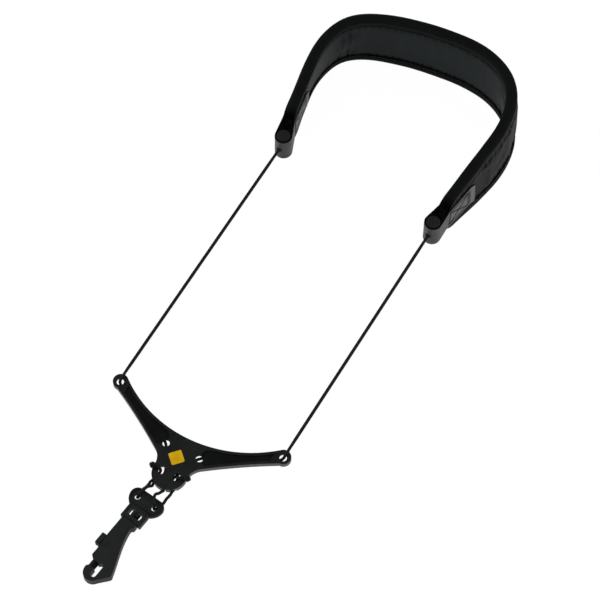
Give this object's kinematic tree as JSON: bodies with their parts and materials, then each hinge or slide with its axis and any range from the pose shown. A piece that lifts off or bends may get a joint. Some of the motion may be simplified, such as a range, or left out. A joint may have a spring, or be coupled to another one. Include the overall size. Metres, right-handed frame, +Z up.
{
  "type": "saxophone neck strap",
  "caption": "Neck strap for a wind instrument: curved padded neck band, thin side cords, a wide moulded yoke that slides to set the length, and a swivelling snap hook with a thumb bolt.",
  "frame": {"origin": "on the yoke's symmetry plane, on the line through its two tip holes, at table height", "axes": "+Y from the hook towards the neck pad along the yoke's symmetry line, +Z up from the table and out of the yoke's front face, +X to the yoke's right"},
  "size_m": [0.1999, 0.5599, 0.0571],
  "materials": {
    "cushion": "closed-cell foam, hidden inside the cover",
    "pad_cover": "smooth dark slate cloth",
    "pad_lining": "smooth dark slate cloth",
    "binding": "black edge binding tape with a stitch line",
    "webbing": "grey woven webbing with a sheen",
    "dowel": "black moulded plastic, satin",
    "cord": "black braided cord",
    "yoke_plastic": "black moulded plastic, satin",
    "badge": "yellow plain inlay, satin",
    "hook_plastic": "black moulded plastic, satin",
    "spring_steel": "bright spring wire",
    "stud": "black, satin"
  },
  "bodies": {
    "pad": {"pad_core": "cushion", "outer_cover": "pad_cover", "inner_lining": "pad_lining", "upper_binding": "binding", "lower_binding": "binding", "left_end_tab": "webbing", "right_end_tab": "webbing", "left_dowel": "dowel", "right_dowel": "dowel", "left_dowel_knot": "cord", "right_dowel_knot": "cord"},
    "side_cords": {"left_side_cord": "cord", "right_side_cord": "cord"},
    "cord_tips": {"left_tip_bight": "cord", "right_tip_bight": "cord"},
    "yoke": {"yoke": "yoke_plastic", "yoke_badge": "badge", "left_yoke_cord": "cord", "right_yoke_cord": "cord", "left_return_cord": "cord", "right_return_cord": "cord", "left_stopper_knot": "cord", "right_stopper_knot": "cord"},
    "drop_cords": {"left_inner_drop_cord": "cord", "right_inner_drop_cord": "cord", "left_outer_drop_cord": "cord", "right_outer_drop_cord": "cord"},
    "swivel_plate": {"swivel_plate": "hook_plastic", "left_plate_bight": "cord", "right_plate_bight": "cord"},
    "hook": {"hook_body": "hook_plastic", "swivel_stud": "stud", "bolt_spring": "spring_steel"},
    "bolt": {"bolt": "hook_plastic", "thumb_button": "hook_plastic"}
  },
  "joints": [
    {"name": "cords_swing", "type": "hinge", "parent": "pad", "child": "side_cords", "pos_m": [0.02021, 0.23102, 0.0285], "axis": [0.9924, -0.1234, 0], "range_deg": [-60, 60]},
    {"name": "yoke_slide", "type": "slide", "parent": "side_cords", "child": "cord_tips", "axis": [0.0868, 0.9915, 0.0967], "range_m": [-0.006, 0.12], "deforming": ["left_side_cord", "right_side_cord"]},
    {"name": "yoke_tilt", "type": "hinge", "parent": "cord_tips", "child": "yoke", "pos_m": [0, 0.003, 0.005], "axis": [1, 0, 0], "range_deg": [-60, 4], "deforming": ["left_tip_bight", "right_tip_bight"]},
    {"name": "hook_swing", "type": "hinge", "parent": "yoke", "child": "drop_cords", "pos_m": [-0.001, -0.0667, 0.0015], "axis": [1, 0, 0], "range_deg": [-60, 60]},
    {"name": "hook_drop", "type": "slide", "parent": "drop_cords", "child": "swivel_plate", "axis": [-0.165, -0.9863, 0], "range_m": [-0.003, 0.06], "deforming": ["left_inner_drop_cord", "right_inner_drop_cord", "left_outer_drop_cord", "right_outer_drop_cord"]},
    {"name": "hook_swivel", "type": "hinge", "parent": "swivel_plate", "child": "hook", "pos_m": [-0.00737, -0.10035, 0.004], "axis": [0.165, 0.9863, 0], "continuous": true},
    {"name": "bolt_slide", "type": "slide", "parent": "hook", "child": "bolt", "axis": [0.165, 0.9863, 0], "range_m": [0, 0.0086], "stiffness_N_per_m": 250, "springref_m": -0.004, "deforming": ["bolt_spring"]}
  ],
  "couplings": [
    {"joint": "hook_drop", "follows": "yoke_slide", "ratio": 0.5}
  ]
}
